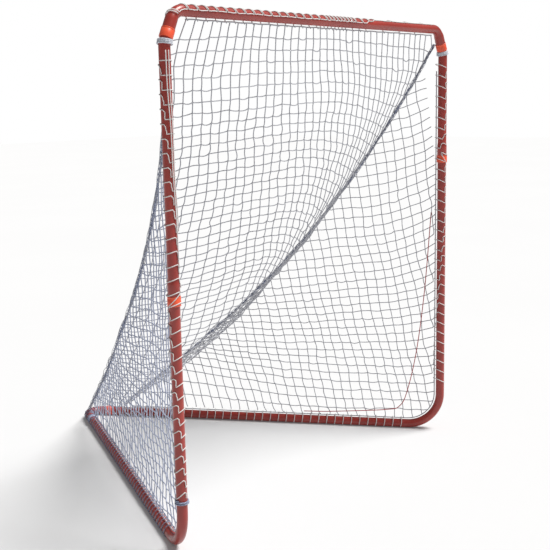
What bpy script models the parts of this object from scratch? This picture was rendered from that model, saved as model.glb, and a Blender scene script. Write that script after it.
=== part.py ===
"""Portable pyramid goal: five plugged steel tube sections, collars, snap buttons and a laced net.

Metres, +Z up. The mouth faces -Y and the two ground legs meet at the apex at +Y.
The origin is on the ground below the middle of the bounding box.
"""

import math

import bmesh
import bpy
from mathutils import Matrix, Quaternion, Vector

# Frame
BAR_HEIGHT = 1.8088        # crossbar centreline above the ground
HALF_WIDTH = 0.8415        # post centreline from the middle of the mouth
LEG_INWARD = 0.482         # inward part of a leg's direction
MOUTH_Y = -0.7320          # the post centrelines' plane
TUBE_R = 0.019
TUBE_WALL = 0.0015
SIDES = 24
GAP = 0.0003

# Bends: the top corner is a 25 degree bend, a short straight and a 65 degree bend
CORNER_R = 0.055
CORNER_KINK = math.radians(25)
CORNER_STRAIGHT = 0.065
FOOT_R = 0.150
APEX_R = 0.055

# Plug joints
LEFT_JOINT_Z = 0.8908
RIGHT_JOINT_Z = 1.2518
CORNER_JOINT = 0.020       # collar centre along the corner's straight
APEX_JOINT = 0.130         # collar centre from the crossing of the leg lines
BELL_R = 0.0208
BELL_BORE = TUBE_R + GAP
BELL_LENGTH = 0.045
BELL_CONE = 0.020
PLUG_LENGTH = 0.044
CORNER_PLUG = 0.034
COLLAR_R = 0.0225
COLLAR_LENGTH = 0.032
COLLAR_OVERLAP = 0.008     # part of the collar that covers the bell

# Snap buttons and their clips
BUTTON_R = 0.004
BUTTON_TIP = 0.0243
BUTTON_BASE = 0.012
FLANGE_R = 0.0055
HOLE_R = 0.0043
POST_BUTTON = 0.024        # from the bell's mouth
CORNER_BUTTON = 0.018
CLIP_WIDTH = 0.008
CLIP_THICK = 0.0008

# Net
NET_THICK = 0.004
NET_INSET = 0.0355         # border of the net from a tube's centreline
SEAM_R = 0.005
SEAM_START = 0.036         # along the leg from the post
SEAM_END = {-1: 1.645, 1: 1.540}
SEAM_SHAPE = {             # part of the leg where it would land, then its height's three terms
    -1: (0.964, 0.985, 0.984, 0.665),
    1: (0.905, 1.004, 0.675, 0.419),
}
SEAM_LEAN = 0.040          # most that a seam is drawn in from its leg's plane
LEAN_END = 0.85            # along the leg, where the seam is back in that plane
BACK_SAG = 0.18
EDGE_R = 0.0025
EDGE_OFFSET = 0.026
LACE_R = 0.0018
LACE_LOOP = 0.0232
LACE_REACH = 0.0322
TIE_R = 0.0025
TIE_LOOP = 0.0232          # from the tube's centreline
CORNER_TIE = (1.686, 1.702)    # heights on a post
FOOT_TIE = (0.196, 0.214)
APEX_TIE = (1.545, 1.573)      # along the left leg
RED_R = 0.0022

FLAT = math.cos(math.pi / SIDES)
FOOT_Z = TUBE_R * FLAT
CORNER_TALL = CORNER_R + CORNER_STRAIGHT * math.cos(CORNER_KINK)
LEG_BACK = math.sqrt(1 - LEG_INWARD ** 2)
LEG_LENGTH = HALF_WIDTH / LEG_INWARD      # post centreline to where the leg lines cross
APEX_S = LEG_LENGTH - APEX_JOINT
LEG_RISE = (COLLAR_R - TUBE_R) * FLAT / (APEX_S - FOOT_R)
UP = Vector((0, 0, 1))
REAR = Vector((0, 1, 0))


def clear_scene():
    for obj in list(bpy.data.objects):
        bpy.data.objects.remove(obj, do_unlink=True)


def material(name, color, roughness, metallic):
    mat = bpy.data.materials.new(name)
    mat.use_nodes = True
    shader = mat.node_tree.nodes["Principled BSDF"]
    shader.inputs["Base Color"].default_value = (*color, 1)
    shader.inputs["Roughness"].default_value = roughness
    shader.inputs["Metallic"].default_value = metallic
    return mat


def finish(obj, mat, smooth_angle=None):
    obj.data.materials.append(mat)
    if smooth_angle is not None:
        obj.data.shade_smooth()
        obj.data.set_sharp_from_angle(angle=math.radians(smooth_angle))
    return obj


def mesh_object(name, verts, faces, mat, smooth_angle=None):
    mesh = bpy.data.meshes.new(name)
    mesh.from_pydata([tuple(v) for v in verts], [], faces)
    work = bmesh.new()
    work.from_mesh(mesh)
    bmesh.ops.recalc_face_normals(work, faces=work.faces[:])
    work.to_mesh(mesh)
    work.free()
    obj = bpy.data.objects.new(name, mesh)
    bpy.context.collection.objects.link(obj)
    return finish(obj, mat, smooth_angle)


# Frame geometry -----------------------------------------------------------------

def post_point(side, z):
    return Vector((side * HALF_WIDTH, MOUTH_Y, z))


def leg_direction(side):
    return Vector((-side * LEG_INWARD, LEG_BACK, 0))


def leg_heading(side):
    return (leg_direction(side) + UP * LEG_RISE).normalized()


def leg_point(side, s, above=0.0):
    """Point above the leg's centreline, at distance s from the post."""
    rise = LEG_RISE * max(0.0, s - FOOT_R)
    return post_point(side, FOOT_Z + rise + above) + leg_direction(side) * s


def outward(side):
    """Level direction away from the inside of the goal, square to the leg."""
    return Vector((side * LEG_BACK, LEG_INWARD, 0))


class Run:
    """Centreline of a tube as stations of point, heading, outer and inner radius."""

    def __init__(self, point, heading, outer=TUBE_R, inner=TUBE_R - TUBE_WALL):
        self.point = Vector(point)
        self.heading = Vector(heading).normalized()
        self.stations = []
        self.mark(outer, inner)

    def mark(self, outer=TUBE_R, inner=TUBE_R - TUBE_WALL):
        self.stations.append([self.point.copy(), self.heading.copy(), outer, inner])

    def ahead(self, length, outer=TUBE_R, inner=TUBE_R - TUBE_WALL):
        self.point = self.point + self.heading * length
        self.mark(outer, inner)

    def bend(self, radius, angle, toward, steps):
        axis = self.heading.cross(toward).normalized()
        arm = axis.cross(self.heading) * radius
        centre = self.point + arm
        for _ in range(steps):
            turn = Quaternion(axis, angle / steps)
            self.point = centre + turn @ (self.point - centre)
            self.heading = turn @ self.heading
            self.mark()


def ring(point, heading, side_vector, radius, count):
    """Corners of a regular polygon whose flats face the side vector and square to it."""
    across = heading.cross(side_vector).normalized()
    corners = []
    for k in range(count):
        angle = (k + 0.5) * 2 * math.pi / count
        offset = side_vector * math.cos(angle) + across * math.sin(angle)
        corners.append(point + offset * radius)
    return corners


def sweep_tube(name, stations, side_vector, mat):
    side_vector = Vector(side_vector)
    outer = []
    inner = []
    heading = stations[0][1]
    for point, new_heading, outer_r, inner_r in stations:
        side_vector = heading.rotation_difference(new_heading) @ side_vector
        heading = new_heading
        side_vector = (side_vector - heading * side_vector.dot(heading)).normalized()
        outer.append(ring(point, heading, side_vector, outer_r, SIDES))
        inner.append(ring(point, heading, side_vector, inner_r, SIDES))
    loops = outer + inner[::-1]
    verts = [v for loop in loops for v in loop]
    faces = []
    for row in range(len(loops)):
        following = (row + 1) % len(loops)
        for k in range(SIDES):
            after = (k + 1) % SIDES
            faces.append((row * SIDES + k, row * SIDES + after,
                          following * SIDES + after, following * SIDES + k))
    return mesh_object(name, verts, faces, mat, 35)


def turned(name, profile, place, count, mat, closed_ring):
    """Solid of revolution about local Z from (radius, height) pairs."""
    verts = []
    faces = []
    rows = []
    for radius, height in profile:
        if radius == 0:
            rows.append([len(verts)])
            verts.append(place @ Vector((0, 0, height)))
            continue
        rows.append(list(range(len(verts), len(verts) + count)))
        for k in range(count):
            angle = (k + 0.5) * 2 * math.pi / count
            local = Vector((radius * math.cos(angle), radius * math.sin(angle), height))
            verts.append(place @ local)
    pairs = list(zip(rows, rows[1:]))
    if closed_ring:
        pairs.append((rows[-1], rows[0]))
    for low, high in pairs:
        for k in range(count):
            after = (k + 1) % count
            if len(low) == 1:
                faces.append((low[0], high[after], high[k]))
            elif len(high) == 1:
                faces.append((low[k], low[after], high[0]))
            else:
                faces.append((low[k], low[after], high[after], high[k]))
    return mesh_object(name, verts, faces, mat, 40)


def placement(origin, along, toward):
    """Matrix with local Z along the tube and local X toward the given direction."""
    z = along.normalized()
    x = (toward - z * toward.dot(z)).normalized()
    y = z.cross(x)
    turn = Matrix((x, y, z)).transposed().to_4x4()
    return Matrix.Translation(origin) @ turn


# Tubes --------------------------------------------------------------------------

def corner_straight_start(side):
    """Lower end and direction of the tilted straight in a top corner."""
    run = Run(post_point(side, BAR_HEIGHT - CORNER_TALL), UP)
    run.bend(CORNER_R, CORNER_KINK, Vector((-side, 0, 0)), 3)
    return run.point, run.heading


def make_top_section(mat):
    low, lean = corner_straight_start(-1)
    mouth = CORNER_JOINT + COLLAR_OVERLAP
    run = Run(low + lean * mouth, lean, BELL_R, BELL_BORE)
    run.ahead(CORNER_STRAIGHT - mouth, BELL_R, BELL_BORE)
    run.bend(CORNER_R, math.pi / 2 - CORNER_KINK, Vector((1, 0, 0)), 6)
    run.stations[2][2] = (TUBE_R + BELL_R) / 2
    run.stations[2][3] = (TUBE_R - TUBE_WALL + BELL_BORE) / 2
    half = run.stations
    stations = list(half)
    for point, heading, outer, inner in reversed(half):
        mirrored = Vector((-point.x, point.y, point.z))
        onward = Vector((heading.x, -heading.y, -heading.z))
        stations.append([mirrored, onward, outer, inner])
    return sweep_tube("top_section", stations, REAR, mat)


def make_upper_post(name, side, joint_z, mat):
    low, lean = corner_straight_start(side)
    mouth = CORNER_JOINT + COLLAR_OVERLAP
    run = Run(low + lean * (mouth + CORNER_PLUG), -lean)
    run.ahead(mouth + CORNER_PLUG)
    run.bend(CORNER_R, CORNER_KINK, -UP, 3)
    bell_mouth = joint_z + COLLAR_OVERLAP
    run.ahead(run.point.z - bell_mouth - BELL_LENGTH - BELL_CONE)
    run.ahead(BELL_CONE, BELL_R, BELL_BORE)
    run.ahead(BELL_LENGTH, BELL_R, BELL_BORE)
    return sweep_tube(name, run.stations, REAR, mat)


def base_run(side, joint_z):
    """From the plug at the top of a lower post to the start of the straight leg."""
    top = joint_z + COLLAR_OVERLAP + PLUG_LENGTH
    run = Run(post_point(side, top), -UP)
    run.ahead(top - FOOT_Z - FOOT_R)
    angle = math.pi / 2 + math.atan(LEG_RISE)
    run.bend(FOOT_R, angle, leg_direction(side), 8)
    return run


def make_left_base(mat):
    run = base_run(-1, LEFT_JOINT_Z)
    crossing = leg_point(1, LEG_LENGTH)
    onward = -leg_heading(1)
    turn = run.heading.angle(onward)
    tangent = APEX_R * math.tan(turn / 2)
    run.ahead((crossing - run.point).length - tangent)
    run.bend(APEX_R, turn, onward, 10)
    run.ahead(APEX_JOINT + COLLAR_OVERLAP + PLUG_LENGTH - tangent)
    return sweep_tube("left_base_section", run.stations, outward(-1), mat)


def make_right_base(mat):
    run = base_run(1, RIGHT_JOINT_Z)
    mouth = leg_point(1, APEX_S - COLLAR_OVERLAP)
    run.ahead((mouth - run.point).length - BELL_LENGTH - BELL_CONE)
    run.ahead(BELL_CONE, BELL_R, BELL_BORE)
    run.ahead(BELL_LENGTH, BELL_R, BELL_BORE)
    return sweep_tube("right_base_section", run.stations, outward(1), mat)


# Joints between the tubes ---------------------------------------------------------

def joint_places():
    """For each plug joint: its matrix at the collar's centre, and its button's height there."""
    places = {}
    for word, side, joint_z in (("left", -1, LEFT_JOINT_Z), ("right", 1, RIGHT_JOINT_Z)):
        low, lean = corner_straight_start(side)
        corner = placement(low + lean * CORNER_JOINT, lean, REAR)
        places[word + "_corner"] = (corner, COLLAR_OVERLAP + CORNER_BUTTON)
        post = placement(post_point(side, joint_z), UP, REAR)
        places[word + "_post"] = (post, COLLAR_OVERLAP + POST_BUTTON)
    apex = placement(leg_point(1, APEX_S), -leg_heading(1), outward(1))
    places["apex"] = (apex, COLLAR_OVERLAP + POST_BUTTON)
    return places


def make_collar(name, place, mat):
    low = -COLLAR_LENGTH / 2
    high = COLLAR_LENGTH / 2
    step = COLLAR_OVERLAP - GAP
    chamfer = 0.0008
    profile = [
        (BELL_BORE, low),
        (COLLAR_R - chamfer, low),
        (COLLAR_R, low + chamfer),
        (COLLAR_R, high - chamfer),
        (COLLAR_R - chamfer, high),
        (BELL_R + GAP, high),
        (BELL_R + GAP, step),
        (BELL_BORE, step),
    ]
    return turned(name, profile, place, SIDES, mat, True)


def make_button(name, place, height, mat):
    across = Matrix.Translation((0, 0, height)) @ Matrix.Rotation(math.pi / 2, 4, "Y")
    centre = place @ Vector((0, 0, height))
    profile = [
        (0, BUTTON_BASE),
        (FLANGE_R, BUTTON_BASE),
        (FLANGE_R, BUTTON_BASE + 0.003),
        (BUTTON_R, BUTTON_BASE + 0.003),
        (BUTTON_R, BUTTON_TIP - 0.0012),
        (BUTTON_R * 0.75, BUTTON_TIP - 0.0004),
        (0, BUTTON_TIP),
    ]
    obj = turned(name, profile, across, 12, mat, False)
    turn = place.to_3x3().to_4x4()
    obj.data.transform(Matrix.Translation((0, 0, -height)))
    obj.data.transform(turn)
    obj.location = centre
    return obj


def make_clip(name, place, height, mat):
    """Bent leaf spring: a foot on the far wall, a round back and a leaf that ends at the button."""
    line = [
        (0.010, -0.0159),
        (-0.028, -0.0159),
        (-0.0345, -0.0125),
        (-0.036, -0.0070),
        (-0.0335, -0.0025),
        (-0.0064, 0.0130),
    ]
    half = CLIP_THICK / 2
    rows = []
    for k, (u, v) in enumerate(line):
        before = Vector(line[max(k - 1, 0)])
        after = Vector(line[min(k + 1, len(line) - 1)])
        run = (after - before).normalized()
        side = Vector((-run.y, run.x)) * half
        row = []
        for sign, edge in ((1, -1), (1, 1), (-1, 1), (-1, -1)):
            point = Vector((u, v)) + side * sign
            row.append(place @ Vector((point.y, edge * CLIP_WIDTH / 2, height + point.x)))
        rows.append(row)
    verts = [v for row in rows for v in row]
    faces = [(0, 1, 2, 3), tuple(len(verts) - 4 + k for k in range(4))]
    for r in range(len(rows) - 1):
        for k in range(4):
            after = (k + 1) % 4
            faces.append((r * 4 + k, r * 4 + after, r * 4 + 4 + after, r * 4 + 4 + k))
    return mesh_object(name, verts, faces, mat, 40)


def drill(tubes, name, place, height):
    """One hole through the walls of a bell and its plug, on the button's side."""
    mesh = bpy.data.meshes.new(name + "_cutter")
    work = bmesh.new()
    bmesh.ops.create_cone(work, cap_ends=True, segments=16, radius1=HOLE_R,
                          radius2=HOLE_R, depth=0.012)
    across = Matrix.Translation((0.020, 0, height)) @ Matrix.Rotation(math.pi / 2, 4, "Y")
    bmesh.ops.transform(work, matrix=place @ across, verts=work.verts)
    work.to_mesh(mesh)
    work.free()
    cutter = bpy.data.objects.new(name + "_cutter", mesh)
    bpy.context.collection.objects.link(cutter)
    cutter.hide_render = True
    cutter.display_type = "WIRE"
    for tube in tubes:
        cut = tube.modifiers.new(name + "_hole", "BOOLEAN")
        cut.operation = "DIFFERENCE"
        cut.object = cutter


# Net ------------------------------------------------------------------------------

def seam_height(side, s):
    """Height of a seam rope above its leg's centreline."""
    reach, top, slope, lift = SEAM_SHAPE[side]
    q = s / LEG_LENGTH / reach
    return (BAR_HEIGHT - FOOT_Z) * (1 - q) * (top - slope * q + lift * q * q)


def seam_lean(s):
    """How far the back net's weight draws a seam in from its leg's plane."""
    if s >= LEAN_END:
        return 0.0
    wave = math.sin(math.pi * (s / LEAN_END) ** 0.6)
    return SEAM_LEAN * wave * (1 - math.exp(-s / 0.05)) ** 2


def seam_point(side, s):
    return leg_point(side, s, seam_height(side, s)) - outward(side) * seam_lean(s)


def steps(first, last, count):
    return [first + (last - first) * k / (count - 1) for k in range(count)]


def thick_sheet(name, grid, mat):
    """Closed sheet of the net's thickness around a grid of points."""
    rows = len(grid)
    cols = len(grid[0])
    front = []
    back = []
    for i in range(rows):
        for j in range(cols):
            along = grid[min(i + 1, rows - 1)][j] - grid[max(i - 1, 0)][j]
            across = grid[i][min(j + 1, cols - 1)] - grid[i][max(j - 1, 0)]
            normal = along.cross(across).normalized() * NET_THICK / 2
            front.append(grid[i][j] + normal)
            back.append(grid[i][j] - normal)
    count = rows * cols
    faces = []
    for i in range(rows - 1):
        for j in range(cols - 1):
            a = i * cols + j
            quad = (a, a + 1, a + cols + 1, a + cols)
            faces.append(quad)
            faces.append(tuple(count + k for k in reversed(quad)))
    rim = [j for j in range(cols)]
    rim += [i * cols + cols - 1 for i in range(1, rows)]
    rim += [(rows - 1) * cols + j for j in range(cols - 2, -1, -1)]
    rim += [i * cols for i in range(rows - 2, 0, -1)]
    for k, a in enumerate(rim):
        b = rim[(k + 1) % len(rim)]
        faces.append((a, count + a, count + b, b))
    return mesh_object(name, front + back, faces, mat, 30)


def make_back_net(mat):
    width = 17
    grid = []
    for s in [0.0] + steps(0.070, 1.500, 13):
        if s == 0.0:
            reach = HALF_WIDTH - 0.080
            edges = [Vector((side * reach, MOUTH_Y, BAR_HEIGHT - NET_INSET)) for side in (-1, 1)]
        else:
            edges = [seam_point(side, s) - Vector((side * 0.013, 0, 0)) for side in (-1, 1)]
        sag = BACK_SAG * math.sin(math.pi * (s / LEG_LENGTH) ** 0.6)
        row = []
        for u in steps(-1, 1, width):
            point = edges[0].lerp(edges[1], (u + 1) / 2)
            row.append(point - UP * sag * (1 - u * u))
        grid.append(row)
    return thick_sheet("back_net", grid, mat)


def side_net_bottom(s):
    inner = FOOT_R - NET_INSET
    if s >= FOOT_R:
        return NET_INSET
    return FOOT_R - math.sqrt(max(0.0, inner ** 2 - (FOOT_R - s) ** 2))


def side_net_top(side, s):
    slope = (seam_height(side, s + 0.01) - seam_height(side, s)) / 0.01
    return seam_height(side, s) - 0.0085 * math.sqrt(1 + slope * slope)


def side_net_point(side, s, w):
    """Point of a side net at part w of the way up from its lower edge."""
    low = side_net_bottom(s)
    above = low + (side_net_top(side, s) - low) * w
    return leg_point(side, s, above) - outward(side) * seam_lean(s) * w


def make_side_net(name, side, mat):
    places = [NET_INSET, 0.045, 0.065, 0.105, FOOT_R]
    places += steps(0.27, SEAM_END[side] - 0.07, 9)
    grid = [[side_net_point(side, s, w) for w in steps(0, 1, 8)] for s in places]
    return thick_sheet(name, grid, mat)


def cord(name, points, radius, mat):
    data = bpy.data.curves.new(name, "CURVE")
    data.dimensions = "3D"
    data.bevel_depth = radius
    data.bevel_resolution = 2
    data.use_fill_caps = True
    spline = data.splines.new("POLY")
    spline.points.add(len(points) - 1)
    for k, point in enumerate(points):
        spline.points[k].co = (*point, 1)
    obj = bpy.data.objects.new(name, data)
    bpy.context.collection.objects.link(obj)
    return finish(obj, mat)


def smooth_path(knots, per_span):
    """Points on a smooth curve through the knots."""
    path = []
    ends = [knots[0] * 2 - knots[1]] + list(knots) + [knots[-1] * 2 - knots[-2]]
    for k in range(1, len(ends) - 2):
        a, b, c, d = ends[k - 1:k + 3]
        for n in range(per_span):
            t = n / per_span
            point = b * 2 + (c - a) * t
            point = point + (a * 2 - b * 5 + c * 4 - d) * t ** 2
            point = point + (b * 3 - a - c * 3 + d) * t ** 3
            path.append(point / 2)
    path.append(Vector(knots[-1]))
    return path


def make_seam(name, side, mat):
    points = [seam_point(side, s) for s in steps(SEAM_START, SEAM_END[side], 28)]
    return cord(name, points, SEAM_R, mat)


def make_side_edge(name, side, mat):
    bend_r = FOOT_R - EDGE_OFFSET
    points = [leg_point(side, EDGE_OFFSET, 1.615)]
    for k in range(9):
        angle = k * math.pi / 16
        s = FOOT_R - bend_r * math.cos(angle)
        points.append(leg_point(side, s, FOOT_R - bend_r * math.sin(angle)))
    points.append(leg_point(side, 1.500, EDGE_OFFSET))
    return cord(name, points, EDGE_R, mat)


def make_top_edge(mat):
    ends = [Vector((side * 0.745, MOUTH_Y, BAR_HEIGHT - EDGE_OFFSET)) for side in (-1, 1)]
    return cord("top_net_edge_cord", ends, EDGE_R, mat)


def loop_offset(toward, across, angle, near, reach):
    """Point of a loop around a tube and the border cord beside it."""
    radius = near + (reach - near) * max(0.0, math.cos(angle)) ** 3
    return (toward * math.cos(angle) + across * math.sin(angle)) * radius


def make_post_lacing(name, side, joint_z, mat):
    points = []
    count = 49
    for k, z in enumerate(steps(1.620, 0.260, count)):
        near = LACE_LOOP
        if -0.045 < z - joint_z < 0.085:
            near = LACE_LOOP + 0.0038
        angle = side * (k - 2) * math.pi / 4
        offset = loop_offset(leg_direction(side), outward(side), angle, near, LACE_REACH)
        points.append(post_point(side, z) + offset)
    return cord(name, points, LACE_R, mat)


def make_top_lacing(mat):
    points = []
    for k, x in enumerate(steps(-0.725, 0.725, 49)):
        offset = loop_offset(-UP, -REAR, (k - 2) * math.pi / 4, LACE_LOOP, LACE_REACH)
        points.append(Vector((x, MOUTH_Y, BAR_HEIGHT)) + offset)
    return cord("top_lacing_cord", points, LACE_R, mat)


def zigzag_over_leg(side, first, last, sweeps, near, reach):
    """Points that cross the top of a leg from side to side, clear of the ground."""
    points = []
    count = sweeps * 8 + 1
    widest = math.radians(110)
    for k, s in enumerate(steps(first, last, count)):
        swing = abs((k % 16) - 8) / 4 - 1
        offset = loop_offset(UP, outward(side), swing * widest, near, reach)
        points.append(leg_point(side, s) + offset)
    return points


def make_leg_lacing(name, side, mat):
    points = zigzag_over_leg(side, 0.190, 1.480, 6, LACE_LOOP, LACE_REACH)
    return cord(name, points, LACE_R, mat)


def coil_on_post(side, low, high, turns, near, reach):
    points = []
    count = int(turns * 12) + 1
    for k, z in enumerate(steps(low, high, count)):
        offset = loop_offset(leg_direction(side), outward(side), k * math.pi / 6, near, reach)
        points.append(post_point(side, z) + offset)
    return points


def make_red_cord(mat):
    knots = []
    off = NET_THICK / 2 + RED_R + 0.0010
    route = [
        (0.045, 0.995),
        (0.073, 0.633),
        (0.108, 0.352),
        (0.150, 0.159),
        (0.185, 0.085),
        (0.250, 0.064),
        (0.506, 0.044),
        (0.639, 0.040),
    ]
    for s, above in route:
        low = side_net_bottom(s)
        w = (above - low) / (side_net_top(1, s) - low)
        knots.append(leg_point(1, s, above) - outward(1) * (off + seam_lean(s) * w))
    return cord("red_tie_cord", smooth_path(knots, 4), RED_R, mat)


# The whole goal -------------------------------------------------------------------

def main():
    clear_scene()
    tube_red = material("tube_red", (0.32, 0.035, 0.03), 0.38, 0.1)
    collar_orange = material("collar_orange", (0.75, 0.11, 0.05), 0.35, 0.0)
    steel = material("zinc_steel", (0.55, 0.55, 0.56), 0.35, 1.0)
    net_white = material("net_white", (0.82, 0.84, 0.88), 0.85, 0.0)
    rope_blue = material("rope_blue_grey", (0.30, 0.34, 0.46), 0.85, 0.0)
    cord_red = material("cord_red", (0.55, 0.03, 0.04), 0.8, 0.0)

    top = make_top_section(tube_red)
    left_upper = make_upper_post("left_upper_post", -1, LEFT_JOINT_Z, tube_red)
    right_upper = make_upper_post("right_upper_post", 1, RIGHT_JOINT_Z, tube_red)
    left_base = make_left_base(tube_red)
    right_base = make_right_base(tube_red)
    joined = {
        "left_corner": (top, left_upper),
        "right_corner": (top, right_upper),
        "left_post": (left_upper, left_base),
        "right_post": (right_upper, right_base),
        "apex": (right_base, left_base),
    }
    for word, (place, height) in joint_places().items():
        drill(joined[word], word, place, height)
        make_collar(word + "_collar", place, collar_orange)
        make_button(word + "_button", place, height, steel)
        make_clip(word + "_button_clip", place, height, steel)

    make_back_net(net_white)
    make_top_edge(net_white)
    make_top_lacing(net_white)
    for word, side, joint_z in (("left", -1, LEFT_JOINT_Z), ("right", 1, RIGHT_JOINT_Z)):
        make_side_net(word + "_side_net", side, net_white)
        make_seam(word + "_seam_rope", side, rope_blue)
        make_side_edge(word + "_net_edge_cord", side, net_white)
        make_post_lacing(word + "_post_lacing_cord", side, joint_z, net_white)
        make_leg_lacing(word + "_leg_lacing_cord", side, rope_blue)
        coil = coil_on_post(side, *CORNER_TIE, 2, TIE_LOOP - 0.0002, TIE_LOOP - 0.0002)
        cord(word + "_corner_tie", coil, TIE_R, rope_blue)
    coil = coil_on_post(-1, *FOOT_TIE, 2, TIE_LOOP - 0.0006, LACE_REACH)
    cord("left_foot_tie", coil, TIE_R, rope_blue)
    apex_tie = zigzag_over_leg(-1, *APEX_TIE, 2, TIE_LOOP, TIE_LOOP)
    cord("apex_tie", apex_tie, TIE_R, rope_blue)
    make_red_cord(cord_red)


main()
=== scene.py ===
"""Looks of a portable pyramid goal: painted tubes, collars, snap buttons, net and lacing."""

import math

import bmesh
import bpy
import numpy as np
from mathutils import Matrix, Quaternion, Vector

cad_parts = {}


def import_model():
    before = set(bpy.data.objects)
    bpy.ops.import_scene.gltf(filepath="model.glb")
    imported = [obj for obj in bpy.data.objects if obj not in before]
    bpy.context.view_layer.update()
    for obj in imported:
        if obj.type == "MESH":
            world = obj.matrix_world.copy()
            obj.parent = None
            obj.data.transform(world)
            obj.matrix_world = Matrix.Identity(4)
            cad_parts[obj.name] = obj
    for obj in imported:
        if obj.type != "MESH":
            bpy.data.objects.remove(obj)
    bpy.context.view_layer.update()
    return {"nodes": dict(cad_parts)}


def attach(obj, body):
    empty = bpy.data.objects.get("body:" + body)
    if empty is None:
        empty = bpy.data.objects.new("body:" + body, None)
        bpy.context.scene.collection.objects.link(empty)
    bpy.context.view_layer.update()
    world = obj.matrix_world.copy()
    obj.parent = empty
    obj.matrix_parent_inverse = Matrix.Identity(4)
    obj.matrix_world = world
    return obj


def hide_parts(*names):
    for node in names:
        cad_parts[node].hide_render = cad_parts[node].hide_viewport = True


# Frame, as in the CAD model
BAR_HEIGHT = 1.8088
HALF_WIDTH = 0.8415
LEG_INWARD = 0.482
MOUTH_Y = -0.7320
TUBE_R = 0.019
TUBE_WALL = 0.0015
CORNER_R = 0.055
CORNER_KINK = math.radians(25)
CORNER_STRAIGHT = 0.065
FOOT_R = 0.150
APEX_R = 0.055
JOINT_Z = {-1: 0.8908, 1: 1.2518}
CORNER_JOINT = 0.020
APEX_JOINT = 0.130
BELL_R = 0.0208
BELL_BORE = 0.0193
BELL_LENGTH = 0.045
BELL_CONE = 0.020
PLUG_LENGTH = 0.044
CORNER_PLUG = 0.034
COLLAR_R = 0.0225
COLLAR_LENGTH = 0.032
COLLAR_OVERLAP = 0.008
COLLAR_EDGE = 0.0010       # radius of a collar's rounded edges
BUTTON_R = 0.004
BUTTON_TIP = 0.0243
HOLE_R = 0.0043
POST_BUTTON = 0.024
CORNER_BUTTON = 0.018
SEAM_START = 0.036
SEAM_END = {-1: 1.645, 1: 1.540}
SEAM_SHAPE = {             # part of the leg where it would land, then its height's three terms
    -1: (0.964, 0.985, 0.984, 0.665),
    1: (0.905, 1.004, 0.675, 0.419),
}
SEAM_LEAN = 0.040
LEAN_END = 0.85
BACK_HEAD = 0.070
BACK_END = 1.500
BACK_SAG = 0.18
EDGE_OFFSET = 0.026
SIDE_WORD = {-1: "left", 1: "right"}

CAD_SIDES = 24
FLAT = math.cos(math.pi / CAD_SIDES)
FOOT_Z = TUBE_R * FLAT
CORNER_TALL = CORNER_R + CORNER_STRAIGHT * math.cos(CORNER_KINK)
LEG_BACK = math.sqrt(1 - LEG_INWARD ** 2)
LEG_LENGTH = HALF_WIDTH / LEG_INWARD
APEX_S = LEG_LENGTH - APEX_JOINT
LEG_RISE = (COLLAR_R - TUBE_R) * FLAT / (APEX_S - FOOT_R)
UP = Vector((0, 0, 1))
REAR = Vector((0, 1, 0))

# Net and lacing
CELL = 0.0455
SIDE_PITCH = 0.0436
SIDE_FIRST = -0.145        # where a side net's first column would meet the leg, ahead of the post
SIDE_LINES = 42            # most rows or columns of a side net
SIDE_END = 1.56            # along the leg, where a side net's knots end
SIDE_TOP = 1.66            # and above it
LEAN_LOW = 0.20            # lean of a side net's columns, up to LEAN_TURN
LEAN_HIGH = 0.12           # and above it
LEAN_TURN = 0.9
ROW_PITCH = 0.0444
BACK_COLUMNS = 37
BACK_TAPER = 0.6           # columns that end on the right seam, per row
BACK_ROWS = 54
EVEN_ROWS = 28             # rows at an even pitch; those below share what is left
BACK_ROW = 0.0387          # that pitch down the middle, and what the seams add to it
BACK_ROW_RIGHT = 0.0143
BACK_ROW_LEFT = 0.0055
ROW_SLOPE = ([0, 0.15, 0.27, 0.40, 0.55, 0.75, 1.2], [0, -0.08, -0.065, 0, 0.04, 0.09, 0.12])
STRAND_R = 0.0020
KNOT_R = 0.0031
EDGE_REACH = 0.0304        # outside of a border cord from the tube's centreline
LACE_R = 0.0017
LACE_LIFT = 0.0019         # a lacing cord's centre above the tube

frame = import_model()
rng = np.random.default_rng(7)


# Materials ------------------------------------------------------------------------

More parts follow.
